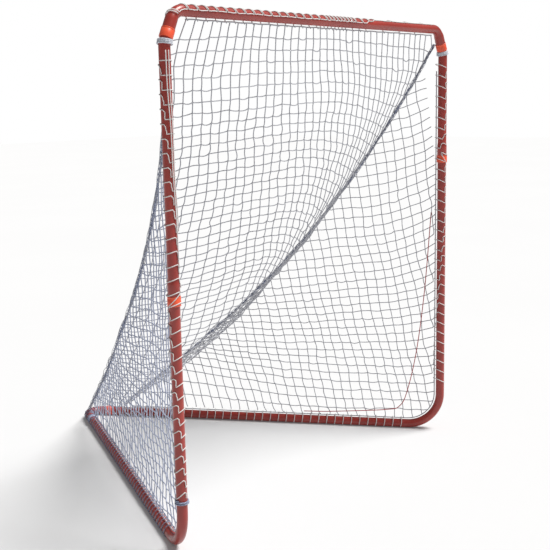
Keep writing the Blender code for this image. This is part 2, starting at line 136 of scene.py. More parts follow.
class Nodes:
    """A material and short ways to add the nodes it is made of."""

    def __init__(self, name):
        self.material = bpy.data.materials.new(name)
        self.material.use_nodes = True
        self.tree = self.material.node_tree
        self.shader = self.tree.nodes["Principled BSDF"]

    def add(self, kind, **inputs):
        node = self.tree.nodes.new(kind)
        for key, value in inputs.items():
            self.feed(node.inputs[key.replace("_", " ")], value)
        return node

    def feed(self, socket, value):
        if isinstance(value, bpy.types.NodeSocket):
            self.tree.links.new(value, socket)
        else:
            socket.default_value = value

    def place(self, kind="Object"):
        return self.add("ShaderNodeTexCoord").outputs[kind]

    def scaled(self, vector, scale):
        node = self.add("ShaderNodeMapping", Vector=vector, Scale=scale)
        return node.outputs["Vector"]

    def noise(self, vector, scale, detail=4.0, rough=0.55):
        node = self.add("ShaderNodeTexNoise", Vector=vector, Scale=scale, Detail=detail,
                        Roughness=rough)
        return node.outputs["Fac"]

    def ramp(self, fac, *stops):
        node = self.add("ShaderNodeValToRGB", Fac=fac)
        elements = node.color_ramp.elements
        while len(elements) < len(stops):
            elements.new(0.5)
        for element, (position, color) in zip(elements, stops):
            element.position = position
            element.color = (*color, 1) if len(color) == 3 else color
        return node.outputs["Color"]

    def level(self, fac, low, high, out_low, out_high):
        node = self.add("ShaderNodeMapRange", Value=fac)
        for key, value in (("From Min", low), ("From Max", high),
                           ("To Min", out_low), ("To Max", out_high)):
            node.inputs[key].default_value = value
        return node.outputs["Result"]

    def math(self, operation, a, b):
        node = self.tree.nodes.new("ShaderNodeMath")
        node.operation = operation
        self.feed(node.inputs[0], a)
        self.feed(node.inputs[1], b)
        return node.outputs[0]

    def mix(self, fac, a, b):
        node = self.tree.nodes.new("ShaderNodeMix")
        node.data_type = "RGBA"
        self.feed(node.inputs["Factor"], fac)
        self.feed(node.inputs[6], a)
        self.feed(node.inputs[7], b)
        return node.outputs[2]

    def bump(self, height, strength, distance, under=None):
        node = self.add("ShaderNodeBump", Height=height, Strength=strength, Distance=distance)
        if under is not None:
            self.feed(node.inputs["Normal"], under)
        return node.outputs["Normal"]

    def look(self, **values):
        for key, value in values.items():
            self.feed(self.shader.inputs[key.replace("_", " ")], value)
        return self.material


def tube_paint():
    """Dark red powder coat with faded patches, scuffs and fine orange peel."""
    n = Nodes("tube_paint")
    place = n.place()
    cloud = n.noise(place, 5.0)
    color = n.ramp(cloud, (0.30, (0.27, 0.022, 0.016)), (0.75, (0.38, 0.036, 0.024)))
    scuff = n.noise(n.scaled(place, (9, 9, 3)), 14.0, 8.0, 0.7)
    worn = n.level(scuff, 0.66, 0.74, 0.0, 1.0)
    color = n.mix(worn, color, (0.20, 0.03, 0.026, 1))
    speck = n.noise(place, 420.0, 2.0)
    chips = n.level(speck, 0.74, 0.78, 0.0, 0.8)
    color = n.mix(chips, color, (0.42, 0.16, 0.13, 1))
    peel = n.noise(place, 900.0, 2.0)
    rough = n.level(scuff, 0.4, 0.8, 0.30, 0.52)
    normal = n.bump(peel, 0.10, 0.0004)
    return n.look(Base_Color=color, Roughness=rough, Normal=normal, Metallic=0.0,
                  Coat_Weight=0.25, Coat_Roughness=0.18)


def collar_paint():
    """Bright orange-red moulded sleeve with faint flow marks and rubbed edges."""
    n = Nodes("collar_plastic")
    place = n.place()
    cloud = n.noise(place, 30.0)
    color = n.ramp(cloud, (0.3, (0.70, 0.075, 0.030)), (0.75, (0.86, 0.12, 0.050)))
    rub = n.noise(n.scaled(place, (60, 60, 10)), 4.0, 8.0, 0.7)
    color = n.mix(n.level(rub, 0.62, 0.72, 0.0, 0.5), color, (0.85, 0.30, 0.17, 1))
    fine = n.noise(place, 700.0, 2.0)
    return n.look(Base_Color=color, Roughness=n.level(rub, 0.3, 0.8, 0.26, 0.45),
                  Normal=n.bump(fine, 0.08, 0.0004))


def spring_steel():
    n = Nodes("zinc_steel")
    place = n.place()
    brushed = n.noise(n.scaled(place, (800, 800, 80)), 3.0, 3.0)
    spangle = n.noise(place, 260.0, 3.0)
    color = n.ramp(spangle, (0.3, (0.46, 0.46, 0.47)), (0.8, (0.70, 0.70, 0.69)))
    return n.look(Base_Color=color, Metallic=1.0, Roughness=n.level(brushed, 0.3, 0.7, 0.22, 0.42),
                  Normal=n.bump(brushed, 0.15, 0.0002))


def fibre(name, shadow, light, twist, plies, relief):
    """Twisted or braided cord, with painted shade in the grooves between its plies and a painted
    highlight on their crowns: UV u runs round the cord and v along it, in metres.
    """
    n = Nodes(name)
    around = n.add("ShaderNodeSeparateXYZ", Vector=n.place("UV"))
    u = around.outputs["X"]
    v = around.outputs["Y"]
    turns = n.math("ADD", n.math("MULTIPLY", u, float(plies)), n.math("MULTIPLY", v, twist))
    wave = n.math("SINE", n.math("MULTIPLY", turns, 2 * math.pi), 0.0)
    ply = n.level(wave, -1.0, 1.0, 0.0, 1.0)
    place = n.place()
    hairs = n.noise(place, 1500.0, 3.0, 0.7)
    dirt = n.noise(place, 9.0, 5.0)
    # Painted shade and highlight: the ply wave sets the shadow colour in the grooves and the light
    # colour on the crowns; the hairs add a random tone.
    groove_shade_and_hairs = n.math("MULTIPLY", n.math("ADD", ply, n.math("MULTIPLY", hairs, 0.6)), 0.62)
    color = n.mix(groove_shade_and_hairs, (*shadow, 1), (*light, 1))
    grey = tuple(0.78 * c for c in light)
    color = n.mix(n.level(dirt, 0.50, 0.75, 0.0, 0.7), color, (*grey, 1))
    height = n.math("ADD", n.math("MULTIPLY", ply, 0.8), n.math("MULTIPLY", hairs, 0.2))
    return n.look(Base_Color=color, Roughness=0.85, Normal=n.bump(height, 0.8, relief),
                  Sheen_Weight=0.25, Sheen_Roughness=0.5)


def floor_paint():
    n = Nodes("studio_floor")
    cloud = n.noise(n.place(), 0.6)
    color = n.ramp(cloud, (0.3, (0.595, 0.600, 0.610)), (0.8, (0.605, 0.610, 0.620)))
    return n.look(Base_Color=color, Roughness=0.9, Specular_IOR_Level=0.0,
                  Emission_Color=(1, 1, 1, 1), Emission_Strength=0.06)


PAINT = tube_paint()
COLLAR = collar_paint()
STEEL = spring_steel()
# The net twine is white; its greys here are painted shade, standing in for the shaded undersides
# of the strands.
TWINE = fibre("net_twine", (0.26, 0.27, 0.31), (0.55, 0.56, 0.60), 190.0, 2, 0.0006)
# A darker, bluer copy of the net twine for the left side net: painted shade.
SHADED_TWINE = fibre("side_net_shaded_twine", (0.24, 0.27, 0.37), (0.48, 0.52, 0.66), 190.0, 2, 0.0006)
LACE = fibre("lacing_cord", (0.50, 0.48, 0.48), (0.88, 0.85, 0.83), 240.0, 2, 0.0006)
ROPE = fibre("seam_rope", (0.13, 0.15, 0.23), (0.34, 0.38, 0.52), 80.0, 2, 0.0010)
PALE_ROPE = fibre("corner_rope", (0.34, 0.36, 0.42), (0.66, 0.68, 0.74), 90.0, 2, 0.0010)
RED_CORD = fibre("red_cord", (0.30, 0.02, 0.03), (0.62, 0.06, 0.07), 220.0, 2, 0.0006)


# Pieces ---------------------------------------------------------------------------

def own(obj, nodes=(), body="frame"):
    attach(obj, body)
    if nodes:
        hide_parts(*nodes)
    return obj


def linked(name, data):
    obj = bpy.data.objects.new(name, data)
    bpy.context.scene.collection.objects.link(obj)
    return obj


def mesh_piece(name, verts, faces, material, smooth=35, uvs=None):
    mesh = bpy.data.meshes.new(name)
    mesh.from_pydata(np.asarray(verts, dtype=float).tolist(), [], faces)
    mesh.update()
    if uvs is not None:
        layer = mesh.uv_layers.new(name="around_along")
        layer.data.foreach_set("uv", np.asarray(uvs, dtype=np.float32).ravel())
    mesh.materials.append(material)
    mesh.shade_smooth()
    if smooth < 180:
        mesh.set_sharp_from_angle(angle=math.radians(smooth))
    return linked(name, mesh)


def distances(path):
    return np.concatenate([[0], np.cumsum(np.linalg.norm(np.diff(path, axis=0), axis=1))])


def path_frames(points):
    """Unit tangent, side and top vectors along a path, without twist."""
    ahead = np.gradient(points, axis=0)
    ahead /= np.linalg.norm(ahead, axis=1)[:, None] + 1e-12
    start = np.array((0.0, 0, 1)) if abs(ahead[0][2]) < 0.8 else np.array((1.0, 0, 0))
    side = np.cross(ahead[0], start)
    sides = []
    for t in ahead:
        side = side - t * side.dot(t)
        side = side / (np.linalg.norm(side) + 1e-12)
        sides.append(side)
    sides = np.array(sides)
    return ahead, sides, np.cross(ahead, sides)


def cords(name, paths, radius, sides, material, flatten=None):
    """One mesh of round cords along the given paths. A radius may vary along a path."""
    verts = []
    faces = []
    uvs = []
    base = 0
    angles = np.arange(sides) * 2 * np.pi / sides
    for number, path in enumerate(paths):
        path = np.asarray(path, dtype=float)
        _, side, top = path_frames(path)
        r = radius[number] if isinstance(radius, list) else radius
        r = np.broadcast_to(np.asarray(r, dtype=float), (len(path),))
        ring = (side[:, None, :] * np.cos(angles)[None, :, None]
                + top[:, None, :] * np.sin(angles)[None, :, None])
        verts.append((path[:, None, :] + ring * r[:, None, None]).reshape(-1, 3))
        along = distances(path)
        for i in range(len(path) - 1):
            for k in range(sides):
                after = (k + 1) % sides
                a = base + i * sides
                faces.append((a + k, a + after, a + sides + after, a + sides + k))
                u0 = k / sides
                u1 = (k + 1) / sides
                uvs.append((u0, along[i], u1, along[i], u1, along[i + 1], u0, along[i + 1]))
        last = base + (len(path) - 1) * sides
        faces.append(tuple(range(base + sides - 1, base - 1, -1)))
        faces.append(tuple(range(last, last + sides)))
        uvs.append([0.5, 0] * sides)
        uvs.append([0.5, along[-1]] * sides)
        base += len(path) * sides
    verts = np.concatenate(verts)
    if flatten is not None:
        verts = flatten(verts)
    flat = np.concatenate([np.asarray(u, dtype=np.float32).ravel() for u in uvs])
    return mesh_piece(name, verts, faces, material, 180, flat)


def smooth_path(knots, per_span):
    knots = [np.asarray(k, dtype=float) for k in knots]
    ends = [knots[0] * 2 - knots[1]] + knots + [knots[-1] * 2 - knots[-2]]
    path = []
    for k in range(1, len(ends) - 2):
        a, b, c, d = ends[k - 1:k + 3]
        for t in np.arange(per_span) / per_span:
            path.append((b * 2 + (c - a) * t + (a * 2 - b * 5 + c * 4 - d) * t ** 2
                         + (b * 3 - a - c * 3 + d) * t ** 3) / 2)
    path.append(knots[-1])
    return np.array(path)


# Frame geometry -------------------------------------------------------------------

def post_point(side, z):
    return Vector((side * HALF_WIDTH, MOUTH_Y, z))


def leg_direction(side):
    return Vector((-side * LEG_INWARD, LEG_BACK, 0))


def leg_heading(side):
    return (leg_direction(side) + UP * LEG_RISE).normalized()


def leg_point(side, s, above=0.0):
    rise = LEG_RISE * max(0.0, s - FOOT_R)
    return post_point(side, FOOT_Z + rise + above) + leg_direction(side) * s


def outward(side):
    return Vector((side * LEG_BACK, LEG_INWARD, 0))


class Run:
    """Centreline of a tube as stations of point, heading, outer and inner radius."""

    def __init__(self, point, heading, outer=TUBE_R, inner=TUBE_R - TUBE_WALL):
        self.point = Vector(point)
        self.heading = Vector(heading).normalized()
        self.stations = []
        self.mark(outer, inner)

    def mark(self, outer=TUBE_R, inner=TUBE_R - TUBE_WALL):
        self.stations.append([self.point.copy(), self.heading.copy(), outer, inner])

    def ahead(self, length, outer=TUBE_R, inner=TUBE_R - TUBE_WALL):
        self.point = self.point + self.heading * length
        self.mark(outer, inner)

    def bend(self, radius, angle, toward, steps):
        axis = self.heading.cross(toward).normalized()
        centre = self.point + axis.cross(self.heading) * radius
        for _ in range(steps):
            turn = Quaternion(axis, angle / steps)
            self.point = centre + turn @ (self.point - centre)
            self.heading = turn @ self.heading
            self.mark()

    def bell(self):
        """Expanded end: a soft cone, a straight and a rounded lip."""
        shape = [(0.0, 0.0)]
        for k in range(1, 7):
            shape.append((BELL_CONE / 6, smoothstep(k / 6)))
        shape.append((BELL_LENGTH - 0.0006, 1.0))
        shape.append((0.0004, 0.85))
        shape.append((0.0002, 0.55))
        rise = BELL_R - TUBE_R
        bore = BELL_BORE - TUBE_R + TUBE_WALL
        for length, t in shape[1:]:
            widened = 1.0 if length < 0.001 else t
            self.ahead(length, TUBE_R + rise * t, TUBE_R - TUBE_WALL + bore * widened)


def sweep_tube(name, stations, side_vector, material, sides=48):
    side_vector = Vector(side_vector)
    outer = []
    inner = []
    heading = stations[0][1]
    angles = [(k + 0.5) * 2 * math.pi / sides for k in range(sides)]
    for point, new_heading, outer_r, inner_r in stations:
        side_vector = heading.rotation_difference(new_heading) @ side_vector
        heading = new_heading
        side_vector = (side_vector - heading * side_vector.dot(heading)).normalized()
        across = heading.cross(side_vector)
        spokes = [side_vector * math.cos(a) + across * math.sin(a) for a in angles]
        outer.append([point + spoke * outer_r for spoke in spokes])
        inner.append([point + spoke * inner_r for spoke in spokes])
    loops = outer + inner[::-1]
    verts = [tuple(v) for loop in loops for v in loop]
    faces = []
    for row in range(len(loops)):
        following = (row + 1) % len(loops)
        for k in range(sides):
            after = (k + 1) % sides
            faces.append((row * sides + k, following * sides + k,
                          following * sides + after, row * sides + after))
    obj = mesh_piece(name, verts, faces, material)
    work = bmesh.new()
    work.from_mesh(obj.data)
    bmesh.ops.recalc_face_normals(work, faces=work.faces[:])
    work.to_mesh(obj.data)
    work.free()
    return obj


def corner_straight_start(side):
    run = Run(post_point(side, BAR_HEIGHT - CORNER_TALL), UP)
    run.bend(CORNER_R, CORNER_KINK, Vector((-side, 0, 0)), 8)
    return run.point, run.heading


def top_stations():
    low, lean = corner_straight_start(-1)
    mouth = CORNER_JOINT + COLLAR_OVERLAP
    run = Run(low + lean * mouth, lean, BELL_R - 0.0006, BELL_BORE)
    run.ahead(0.0005, BELL_R, BELL_BORE)
    run.ahead(CORNER_STRAIGHT - mouth - 0.0005, BELL_R, BELL_BORE)
    run.bend(CORNER_R, math.pi / 2 - CORNER_KINK, Vector((1, 0, 0)), 20)
    for k in range(7):
        t = smoothstep(1 - (k + 1) / 7)
        run.stations[3 + k][2] = TUBE_R + (BELL_R - TUBE_R) * t
        run.stations[3 + k][3] = TUBE_R - TUBE_WALL + (BELL_BORE - TUBE_R + TUBE_WALL) * t
    half = run.stations
    stations = list(half)
    for point, heading, outer_r, inner_r in reversed(half):
        mirrored = Vector((-point.x, point.y, point.z))
        onward = Vector((heading.x, -heading.y, -heading.z))
        stations.append([mirrored, onward, outer_r, inner_r])
    return stations


def upper_post_stations(side):
    low, lean = corner_straight_start(side)
    mouth = CORNER_JOINT + COLLAR_OVERLAP
    run = Run(low + lean * (mouth + CORNER_PLUG), -lean)
    run.ahead(mouth + CORNER_PLUG)
    run.bend(CORNER_R, CORNER_KINK, -UP, 8)
    bell_mouth = JOINT_Z[side] + COLLAR_OVERLAP
    run.ahead(run.point.z - bell_mouth - BELL_LENGTH - BELL_CONE)
    run.bell()
    return run.stations


def base_run(side):
    top = JOINT_Z[side] + COLLAR_OVERLAP + PLUG_LENGTH
    run = Run(post_point(side, top), -UP)
    run.ahead(top - FOOT_Z - FOOT_R)
    run.bend(FOOT_R, math.pi / 2 + math.atan(LEG_RISE), leg_direction(side), 24)
    return run


def left_base_stations():
    run = base_run(-1)
    crossing = leg_point(1, LEG_LENGTH)
    onward = -leg_heading(1)
    turn = run.heading.angle(onward)
    tangent = APEX_R * math.tan(turn / 2)
    run.ahead((crossing - run.point).length - tangent)
    run.bend(APEX_R, turn, onward, 32)
    run.ahead(APEX_JOINT + COLLAR_OVERLAP + PLUG_LENGTH - tangent)
    return run.stations


def right_base_stations():
    run = base_run(1)
    mouth = leg_point(1, APEX_S - COLLAR_OVERLAP)
    run.ahead((mouth - run.point).length - BELL_LENGTH - BELL_CONE)
    run.bell()
    return run.stations


def placement(origin, along, toward):
    z = along.normalized()
    x = (toward - z * toward.dot(z)).normalized()
    turn = Matrix((x, z.cross(x), z)).transposed().to_4x4()
    return Matrix.Translation(origin) @ turn


def joint_places():
    places = {}
    for side, word in SIDE_WORD.items():
        low, lean = corner_straight_start(side)
        corner = placement(low + lean * CORNER_JOINT, lean, REAR)
        places[word + "_corner"] = (corner, COLLAR_OVERLAP + CORNER_BUTTON)
        post = placement(post_point(side, JOINT_Z[side]), UP, REAR)
        places[word + "_post"] = (post, COLLAR_OVERLAP + POST_BUTTON)
    apex = placement(leg_point(1, APEX_S), -leg_heading(1), outward(1))
    places["apex"] = (apex, COLLAR_OVERLAP + POST_BUTTON)
    return places


def turned(name, profile, place, material, count=56, closed_ring=False, smooth=40):
    verts = []
    rows = []
    faces = []
    for radius, height in profile:
        if radius == 0:
            rows.append([len(verts)])
            verts.append(place @ Vector((0, 0, height)))
            continue
        rows.append(list(range(len(verts), len(verts) + count)))
        for k in range(count):
            angle = (k + 0.5) * 2 * math.pi / count
            local = (radius * math.cos(angle), radius * math.sin(angle), height)
            verts.append(place @ Vector(local))
    pairs = list(zip(rows, rows[1:]))
    if closed_ring:
        pairs.append((rows[-1], rows[0]))
    for low, high in pairs:
        for k in range(count):
            after = (k + 1) % count
            if len(low) == 1:
                faces.append((low[0], high[after], high[k]))
            elif len(high) == 1:
                faces.append((low[k], low[after], high[0]))
            else:
                faces.append((low[k], low[after], high[after], high[k]))
    return mesh_piece(name, verts, faces, material, smooth)


def drill(tube, places):
    """Cuts the button holes and keeps the cut mesh."""
    cutters = []
    for place, height in places:
        work = bmesh.new()
        bmesh.ops.create_cone(work, cap_ends=True, segments=32, radius1=HOLE_R,
                              radius2=HOLE_R, depth=0.012)
        across = Matrix.Translation((0.020, 0, height)) @ Matrix.Rotation(math.pi / 2, 4, "Y")
        bmesh.ops.transform(work, matrix=place @ across, verts=work.verts)
        mesh = bpy.data.meshes.new("cutter")
        work.to_mesh(mesh)
        work.free()
        cutter = linked("cutter", mesh)
        cut = tube.modifiers.new("hole", "BOOLEAN")
        cut.object = cutter
        cutters.append(cutter)
    shaped = tube.evaluated_get(bpy.context.evaluated_depsgraph_get())
    mesh = bpy.data.meshes.new_from_object(shaped)
    tube.modifiers.clear()
    tube.data = mesh
    mesh.set_sharp_from_angle(angle=math.radians(35))
    for cutter in cutters:
        bpy.data.objects.remove(cutter)


def make_frame():
    places = joint_places()
    tubes = {
        "top_section": (top_stations(), REAR, ("left_corner", "right_corner")),
        "left_upper_post": (upper_post_stations(-1), REAR, ("left_corner", "left_post")),
        "right_upper_post": (upper_post_stations(1), REAR, ("right_corner", "right_post")),
        "left_base_section": (left_base_stations(), outward(-1), ("left_post", "apex")),
        "right_base_section": (right_base_stations(), outward(1), ("right_post", "apex")),
    }
    for name, (stations, side_vector, joints) in tubes.items():
        tube = sweep_tube(name + "_tube", stations, side_vector, PAINT)
        drill(tube, [places[word] for word in joints])
        own(tube, [name])
    for word, (place, height) in places.items():
        make_collar(word, place)
        make_button(word, place, height)
        frame["nodes"][word + "_button_clip"].material_slots[0].material = STEEL


def make_collar(word, place):
    """Sleeve with a rolled lip at its upper end and rounded edges."""
    low = -COLLAR_LENGTH / 2
    high = COLLAR_LENGTH / 2
    step = COLLAR_OVERLAP - 0.0003
    flat = COLLAR_R - COLLAR_EDGE
    profile = [(BELL_BORE + 0.0002, low), (flat, low)]
    for k in range(1, 6):
        a = k * math.pi / 10
        profile.append((flat + COLLAR_EDGE * math.sin(a), low + COLLAR_EDGE * (1 - math.cos(a))))
    profile += [(COLLAR_R, high - 0.0062), (COLLAR_R - 0.0003, high - 0.0058)]
    profile += [(COLLAR_R - 0.0003, high - 0.0052), (COLLAR_R, high - 0.0048)]
    for k in range(7):
        a = k * math.pi / 12
        profile.append((flat + COLLAR_EDGE * math.cos(a),
                        high - COLLAR_EDGE + COLLAR_EDGE * math.sin(a)))
    profile += [(BELL_R + 0.0003, high), (BELL_R + 0.0003, step), (BELL_BORE + 0.0002, step)]
    collar = turned(word + "_collar_sleeve", profile, place, COLLAR, closed_ring=True)
    own(collar, [word + "_collar"])


def make_button(word, place, height):
    across = place @ Matrix.Translation((0, 0, height)) @ Matrix.Rotation(math.pi / 2, 4, "Y")
    profile = [(0, 0.0120), (0.0050, 0.0120), (0.0055, 0.0124), (0.0055, 0.0146)]
    profile += [(0.0051, 0.0150), (BUTTON_R, 0.0150)]
    for k in range(9):
        a = k * math.pi / 18
        r = BUTTON_R - 0.0016 * (1 - math.cos(a))
        profile.append((max(r, 0.0), BUTTON_TIP - 0.0016 + 0.0012 * math.sin(a)))
    profile += [(0.0014, BUTTON_TIP - 0.0001), (0, BUTTON_TIP)]
    button = turned(word + "_button_head", profile, across, STEEL, count=32)
    own(button, [word + "_button"], word + "_button")


# Net ------------------------------------------------------------------------------

def on_leg_plane(side, s, above, out=0.0):
    """World points at distance s along a leg, above its centreline and out of its plane."""
    s = np.asarray(s, dtype=float)
    rise = LEG_RISE * np.maximum(0.0, s - FOOT_R)
    x = side * HALF_WIDTH - side * LEG_INWARD * s + side * LEG_BACK * out
    y = MOUTH_Y + LEG_BACK * s + LEG_INWARD * out
    return np.stack(np.broadcast_arrays(x, y, FOOT_Z + rise + above), axis=-1)


def seam_height(side, s):
    reach, top, slope, lift = SEAM_SHAPE[side]
    q = np.asarray(s, dtype=float) / LEG_LENGTH / reach
    return (BAR_HEIGHT - FOOT_Z) * (1 - q) * (top - slope * q + lift * q * q)


def seam_lean(s):
    s = np.asarray(s, dtype=float)
    wave = np.sin(np.pi * np.clip(s / LEAN_END, 0, 1) ** 0.6)
    return SEAM_LEAN * wave * (1 - np.exp(-s / 0.05)) ** 2


def seam_world(side, s):
    return on_leg_plane(side, s, seam_height(side, s), -seam_lean(s))


def seam_line(side):
    return seam_world(side, np.linspace(SEAM_START, SEAM_END[side], 600))


def border_height(s):
    """Height of a side net's lower border above the leg's centreline."""
    inner = FOOT_R - EDGE_OFFSET
    if s >= FOOT_R:
        return EDGE_OFFSET
    return FOOT_R - math.sqrt(max(0.0, inner ** 2 - (FOOT_R - s) ** 2))


def smoothstep(t):
    t = min(1.0, max(0.0, t))
    return t * t * (3 - 2 * t)


def nearest_on(line, point):
    return line[np.linalg.norm(line - point, axis=1).argmin()]


def ripple(points, size, shortest, longest):
    """Smooth random displacement of points, as a sum of slanted waves."""
    move = np.zeros_like(points)
    for _ in range(8):
        wave = rng.normal(0, 1, 3)
        wave *= 2 * np.pi / rng.uniform(shortest, longest) / np.linalg.norm(wave)
        way = rng.normal(0, 1, 3)
        phase = rng.uniform(0, 2 * np.pi)
        move += way / np.linalg.norm(way) * np.sin(points @ wave + phase)[:, None]
    return move * size / 2


class Net:
    """Knots joined by strands. Some knots are held by the border."""

    def __init__(self):
        self.points = []
        self.held = []
        self.runs = []
        self.pairs = []

    def knot(self, point, held=False):
        self.points.append(np.asarray(point, dtype=float))
        self.held.append(held)
        return len(self.points) - 1

    def strand(self, numbers):
        self.runs.append((list(numbers), len(self.pairs)))
        self.pairs += list(zip(numbers, numbers[1:]))

    def hang(self, wave, jitter, slack, rounds, drop):
        """Ruffles the net, gives each strand some slack and lets the knots sink under weight."""
        p = np.array(self.points)
        free = ~np.array(self.held)
        p[free] += ripple(p[free], wave, 0.16, 0.5)
        p[free] += rng.normal(0, jitter, (free.sum(), 3))
        a, b = np.array(self.pairs).T
        rest = np.linalg.norm(p[b] - p[a], axis=1)
        rest *= 1 + slack * rng.random(len(a))
        count = np.bincount(np.concatenate([a, b]), minlength=len(p))[:, None]
        for _ in range(rounds):
            p[free, 2] -= drop
            for _ in range(4):
                d = p[b] - p[a]
                length = np.linalg.norm(d, axis=1)
                excess = np.maximum(0.0, length - rest) / (length + 1e-12)
                move = d * (excess * 0.5)[:, None]
                shift = np.empty_like(p)
                for axis in range(3):
                    shift[:, axis] = (np.bincount(a, move[:, axis], len(p))
                                      - np.bincount(b, move[:, axis], len(p)))
                p[free] += (shift / count * 1.9)[free]
        self.points = p
        self.rest = rest

    def paths(self, steps=4):
        """Strand paths. Slack between two knots shows as a bow, mostly downwards."""
        p = self.points
        t = np.arange(steps) / steps
        arch = 4 * t * (1 - t)
        found = []
        for numbers, first in self.runs:
            path = []
            for k in range(len(numbers) - 1):
                start = p[numbers[k]]
                end = p[numbers[k + 1]]
                gap = np.linalg.norm(end - start)
                slack = max(0.0, self.rest[first + k] ** 2 - gap ** 2)
                depth = min(0.006, math.sqrt(slack * 3 / 16))
                lean = rng.normal(0, 1, 3) * 0.45 + np.array((0, 0, -0.4))
                wobble = rng.normal(0, 1, 3) * 0.0006
                path.append(start + t[:, None] * (end - start)
                            + arch[:, None] * (lean * depth + wobble))
            path.append(p[numbers[-1]][None])
            found.append(np.concatenate(path))
        return found

    def free_knots(self):
        return self.points[~np.array(self.held)]


def knot_blobs(name, points, size, material):
    """Small pressed knots, each turned its own way."""
    sphere = bmesh.new()
    bmesh.ops.create_uvsphere(sphere, u_segments=7, v_segments=5, radius=1.0)
    sphere.verts.ensure_lookup_table()
    shape = np.array([v.co for v in sphere.verts])
    faces = [[v.index for v in f.verts] for f in sphere.faces]
    sphere.free()
    verts = []
    all_faces = []
    for number, point in enumerate(points):
        stretch = size * rng.uniform(0.75, 1.2, 3)
        turn = np.array(Quaternion(rng.normal(0, 1, 3), 1.0).to_matrix())
        verts.append(point + (shape * stretch) @ turn.T)
        base = number * len(shape)
        all_faces += [[base + v for v in face] for face in faces]
    return mesh_piece(name, np.concatenate(verts), all_faces, material, 180)


def back_borders():
    """Left and right borders of the back net and its sag in the middle, down the net."""
    s = np.concatenate([np.linspace(0, BACK_HEAD, 12)[:-1], np.linspace(BACK_HEAD, BACK_END, 220)])
    below = np.maximum(s, BACK_HEAD)
    ease = np.clip(s / BACK_HEAD, 0, 1)[:, None]
    borders = []
    for side in (-1, 1):
        edge = seam_world(side, below) - np.array((side * 0.013, 0, 0))
        bar = np.array((side * (HALF_WIDTH - 0.080), MOUTH_Y, BAR_HEIGHT - EDGE_OFFSET))
        borders.append(bar + (edge - bar) * ease)
    sag = BACK_SAG * np.sin(np.pi * (below / LEG_LENGTH) ** 0.6) * ease[:, 0]
    return s, borders[0], borders[1], sag


def back_table():
    """Points of the back net on lines of equal u from seam to seam, and the length down each."""
    _, left, right, sag = back_borders()
    u = np.linspace(-1, 1, 41)
    grid = left[:, None] + (right - left)[:, None] * ((u + 1) / 2)[None, :, None]
    grid[..., 2] -= sag[:, None] * (1 - u ** 2)[None, :]
    parts = np.linalg.norm(np.diff(grid, axis=0), axis=2)
    length = np.concatenate([np.zeros((1, len(u))), np.cumsum(parts, axis=0)])
    return grid, length


def back_point(table, u, row):
    """Where the net's rows come at u: they are wider apart along the seams."""
    grid, length = table
    pitch = BACK_ROW + (BACK_ROW_RIGHT if u > 0 else BACK_ROW_LEFT) * u * u
    place = (u + 1) / 2 * (grid.shape[1] - 1)
    k = min(int(place), grid.shape[1] - 2)
    ends = []
    for n in (k, k + 1):
        down = pitch * min(row, EVEN_ROWS) + 0.02 * u * u * min(row, 1.0)
        if row > EVEN_ROWS:
            down += (row - EVEN_ROWS) / (BACK_ROWS - EVEN_ROWS) * (length[-1, n] - down)
        ends.append(np.array([np.interp(down, length[:, n], grid[:, n, axis])
                              for axis in range(3)]))
    return ends[0] * (k + 1 - place) + ends[1] * (place - k)


def make_back_net():
    """Columns run parallel to the left seam and end one after another on the right seam."""
    net = Net()
    table = back_table()
    seams = {side: seam_line(side) for side in (-1, 1)}
    columns = [[net.knot(back_point(table, (2 * c + 1) / BACK_COLUMNS - 1, 0), True)]
               for c in range(BACK_COLUMNS)]
    for row in range(1, BACK_ROWS):
        wide = BACK_COLUMNS - BACK_TAPER * row
        numbers = [net.knot(nearest_on(seams[-1], back_point(table, -1, row)), True)]
        for c in range(BACK_COLUMNS):
            if c + 0.5 > wide - 0.25:
                break
            knot = net.knot(back_point(table, (2 * c + 1) / wide - 1, row))
            columns[c].append(knot)
            numbers.append(knot)
        numbers.append(net.knot(nearest_on(seams[1], back_point(table, 1, row)), True))
        net.strand(numbers)
    for c, numbers in enumerate(columns):
        last = (BACK_COLUMNS - c - 0.5) / BACK_TAPER
        if last < BACK_ROWS:
            foot = nearest_on(seams[1], back_point(table, 1, last))
        else:
            foot = nearest_on(seams[-1 if c < 2 else 1], net.points[numbers[-1]])
        net.strand(numbers + [net.knot(foot, True)])
    net.hang(0.0050, 0.0013, 0.03, 50, 0.0002)
    own(cords("back_net_strands", net.paths(), STRAND_R, 6, TWINE), ["back_net"])
    own(knot_blobs("back_net_knots", net.free_knots(), KNOT_R, TWINE), ())


def side_knot(place):
    """Distance along the leg and height of a side net's knot, from its column and row."""
    column, row = place
    first = SIDE_FIRST + SIDE_PITCH * column
    level = EDGE_OFFSET + ROW_PITCH * row
    s = max(0.0, first)
    for _ in range(14):
        sunk = 0.13 * smoothstep((level - 0.1) / 0.9) * (1 - math.exp(-max(0.0, s) / 0.2))
        h = level - sunk - np.interp(level, *ROW_SLOPE) * max(0.0, s - 0.45)
        tilt = LEAN_LOW * min(h, LEAN_TURN) + LEAN_HIGH * max(0.0, h - LEAN_TURN)
        s = first + tilt + 0.05 * smoothstep((first - 0.5) / 0.4) * h
    return s, h


def border_crossing(inside, within, beyond):
    """Last point inside the net's borders on the way from one knot's place to the next.

    Where the next place is inside too, as high up beside the post, the strand ends there.
    """
    within = np.array(within, dtype=float)
    beyond = np.array(beyond, dtype=float)
    for _ in range(16):
        middle = (within + beyond) / 2
        if inside(side_knot(middle), 0.0):
            within = middle
        else:
            beyond = middle
    return side_knot(within)


